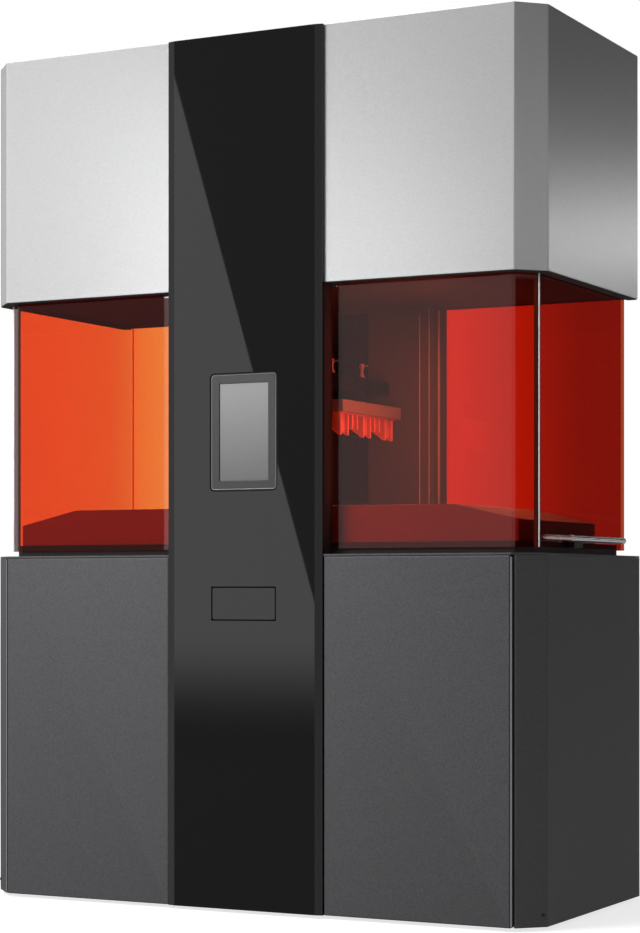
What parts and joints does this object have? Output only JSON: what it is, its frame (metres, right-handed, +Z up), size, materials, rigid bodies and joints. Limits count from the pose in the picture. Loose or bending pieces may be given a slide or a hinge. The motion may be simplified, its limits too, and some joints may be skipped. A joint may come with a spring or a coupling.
{
  "type": "resin printer",
  "caption": "Floor-standing stereolithography resin printer: dark base cabinet, tinted acrylic print chamber with a lifting side sash, silver hood and a gloss black control column.",
  "frame": {"origin": "on the floor, in the middle of the footprint of the whole machine", "axes": "+Z up; the front with the control column faces -Y; +X is to the right seen from the front"},
  "size_m": [1.358, 0.63, 1.9],
  "materials": {
    "silver_paint": "silver metallic powder coat, satin",
    "grey_paint": "dark grey metallic powder coat, fine sparkle",
    "black_paint": "black powder coat, matt",
    "dark_coat": "dark anthracite powder coat, matt",
    "zinc": "zinc-plated sheet",
    "column_gloss": "black gloss acrylic sheet, polished bevels",
    "screen": "display cover, switched off",
    "acrylic": "orange-red cast acrylic that stops blue light",
    "moulded": "black moulded plastic",
    "aluminium": "bead-blasted clear anodised",
    "chrome": "polished",
    "steel": "ground steel",
    "resin": "cured photopolymer",
    "clear_glass": "optical glass",
    "mirror": "first-surface mirror"
  },
  "bodies": {
    "cabinet": {"base_frame": "black_paint", "base_left_panel": "grey_paint", "base_right_panel": "grey_paint", "left_door_hinge": "steel", "right_door_hinge": "steel", "base_rear_panel": "grey_paint", "base_deck": "grey_paint", "mains_inlet": "moulded", "power_supply": "zinc", "cartridge_dock": "moulded", "laser_module": "aluminium", "fold_mirror": "mirror", "galvo_block": "aluminium", "column_frame": "black_paint", "column_panel": "column_gloss", "display_bezel": "moulded", "display_screen": "screen", "port_box": "moulded", "hood_left_shell": "silver_paint", "hood_right_shell": "silver_paint", "hood_top": "silver_paint", "hood_rear_panel": "silver_paint", "fan_frame": "moulded", "control_box": "zinc", "plinth": "black_paint", "bench": "dark_coat", "rear_window": "acrylic", "hood_frame": "zinc", "chamber_ceiling": "dark_coat", "left_front_window": "acrylic", "right_front_window": "acrylic", "left_window_channel": "aluminium", "right_window_channel": "aluminium", "left_side_window": "acrylic", "tower_frame": "dark_coat", "tower_cover": "dark_coat", "left_rail": "steel", "right_rail": "steel", "screw_motor": "moulded"},
    "right_sash": {"right_sash": "acrylic", "right_sash_handle": "chrome"},
    "left_door": {"base_left_door": "grey_paint"},
    "right_door": {"base_right_door": "grey_paint"},
    "flap": {"port_flap": "column_gloss"},
    "button": {"power_button": "aluminium"},
    "z_head": {"z_carriage": "aluminium", "head_arm": "black_paint"},
    "screw": {"ball_screw": "steel"},
    "platform": {"build_platform": "aluminium", "sample_print": "resin"},
    "front_knob": {"front_clamp_knob": "chrome"},
    "rear_knob": {"rear_clamp_knob": "chrome"},
    "tank": {"resin_tank": "moulded", "tank_window": "clear_glass"},
    "cartridge": {"resin_cartridge": "moulded"},
    "fan": {"fan_rotor": "moulded"},
    "switch": {"main_switch": "moulded"},
    "mirror_x": {"scan_mirror_x": "mirror"},
    "mirror_y": {"scan_mirror_y": "mirror"}
  },
  "joints": [
    {"name": "right_sash_lift", "type": "slide", "parent": "cabinet", "child": "right_sash", "axis": [0, 0, 1], "range_m": [0, 0.48]},
    {"name": "left_door_hinge", "type": "hinge", "parent": "cabinet", "child": "left_door", "pos_m": [-0.6206, -0.3074, 0.39], "axis": [0, 0, -1], "range_deg": [0, 100]},
    {"name": "right_door_hinge", "type": "hinge", "parent": "cabinet", "child": "right_door", "pos_m": [0.6206, -0.3074, 0.39], "axis": [0, 0, 1], "range_deg": [0, 100]},
    {"name": "flap_hinge", "type": "hinge", "parent": "cabinet", "child": "flap", "pos_m": [0, -0.3126, 0.7025], "axis": [-1, 0, 0], "range_deg": [0, 95]},
    {"name": "power_button_press", "type": "slide", "parent": "cabinet", "child": "button", "axis": [0, 1, 0], "range_m": [0, 0.002], "stiffness_N_per_m": 800},
    {"name": "z_travel", "type": "slide", "parent": "cabinet", "child": "z_head", "axis": [0, 0, 1], "range_m": [-0.215, 0.125]},
    {"name": "screw_turn", "type": "hinge", "parent": "cabinet", "child": "screw", "pos_m": [0, 0.228, 1.1], "axis": [0, 0, 1], "continuous": true},
    {"name": "platform_slide", "type": "slide", "parent": "z_head", "child": "platform", "axis": [1, 0, 0], "range_m": [0, 0.2]},
    {"name": "front_knob_turn", "type": "hinge", "parent": "z_head", "child": "front_knob", "pos_m": [0.105, -0.101, 1.19], "axis": [0, 0, 1], "range_deg": [0, 90]},
    {"name": "rear_knob_turn", "type": "hinge", "parent": "z_head", "child": "rear_knob", "pos_m": [0.105, 0.049, 1.19], "axis": [0, 0, 1], "range_deg": [0, 90]},
    {"name": "tank_lift", "type": "slide", "parent": "cabinet", "child": "tank", "axis": [0, 0, 1], "range_m": [0, 0.1]},
    {"name": "cartridge_lift", "type": "slide", "parent": "cabinet", "child": "cartridge", "axis": [0, 0, 1], "range_m": [0, 0.15]},
    {"name": "fan_spin", "type": "hinge", "parent": "cabinet", "child": "fan", "pos_m": [0.35, 0.266, 1.7], "axis": [0, 1, 0], "continuous": true},
    {"name": "main_switch_rock", "type": "hinge", "parent": "cabinet", "child": "switch", "pos_m": [0.45, 0.31, 0.15], "axis": [1, 0, 0], "range_deg": [0, 12]},
    {"name": "scan_mirror_x_turn", "type": "hinge", "parent": "cabinet", "child": "mirror_x", "pos_m": [0, 0.0435, 0.25], "axis": [0, 0, 1], "range_deg": [-12, 12]},
    {"name": "scan_mirror_y_turn", "type": "hinge", "parent": "cabinet", "child": "mirror_y", "pos_m": [0, 0.0135, 0.25], "axis": [1, 0, 0], "range_deg": [-12, 12]}
  ],
  "couplings": [
    {"joint": "screw_turn", "follows": "z_travel", "rad_per_m": -314.16}
  ]
}
